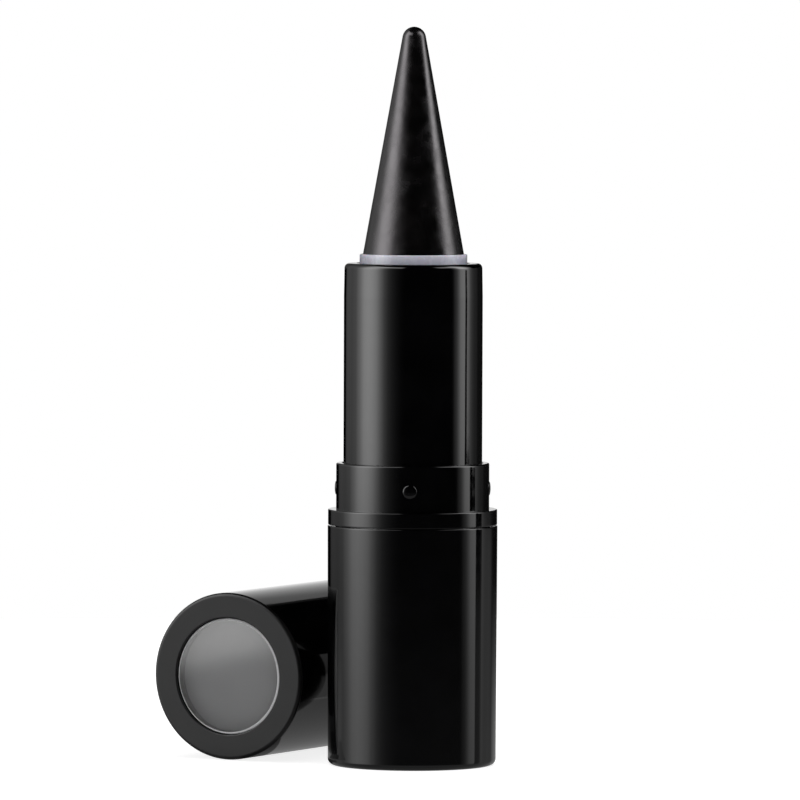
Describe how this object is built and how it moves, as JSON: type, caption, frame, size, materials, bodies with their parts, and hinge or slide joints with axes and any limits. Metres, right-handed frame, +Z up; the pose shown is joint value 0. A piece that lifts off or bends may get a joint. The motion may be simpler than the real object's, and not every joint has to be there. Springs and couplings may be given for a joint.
{
  "type": "kohl stick",
  "caption": "Twist-up kohl stick in a gloss black lipstick-type case: a kohl cone rises in a cup from a turning tube in a collared base; the push-fit cap lies beside it.",
  "frame": {"origin": "middle of the base's flat underside, on the stick's axis", "axes": "+Z up along the stick's axis to the tip; the cap lies along Y beside it on the -X side, closed end towards -Y"},
  "size_m": [0.0421, 0.0375, 0.0885],
  "materials": {
    "gloss_black": "polished black moulding",
    "inner_black": "plain black moulding",
    "mechanism_white": "natural white moulding",
    "brake_rubber": "soft rubber",
    "cup_pale": "pale translucent moulding",
    "kohl": "cast kohl, satin",
    "shade_grey": "satin grey",
    "clear_lens": "polished clear"
  },
  "bodies": {
    "base": {"base_shell": "gloss_black", "base_insert": "inner_black", "collar": "gloss_black", "guide_fork": "mechanism_white", "brake_ring": "brake_rubber"},
    "sleeve": {"cover_tube": "gloss_black", "cam_sleeve": "mechanism_white"},
    "carrier": {"carrier_cup": "cup_pale", "kohl_bullet": "kohl"},
    "cap": {"cap_shell": "gloss_black", "cap_liner": "inner_black", "shade_disc": "shade_grey", "window_lens": "clear_lens"}
  },
  "joints": [
    {"name": "twist", "type": "hinge", "parent": "base", "child": "sleeve", "pos_m": [0, 0, 0.03], "axis": [0, 0, 1], "range_deg": [0, 512.2]},
    {"name": "bullet_rise", "type": "slide", "parent": "base", "child": "carrier", "axis": [0, 0, 1], "range_m": [-0.02846, 0]},
    {"name": "cap_slide", "type": "slide", "parent": "base", "child": "cap", "axis": [0, -1, 0], "range_m": [0, 0.06]}
  ],
  "couplings": [
    {"joint": "bullet_rise", "follows": "twist", "m_per_rad": -0.0031831}
  ]
}
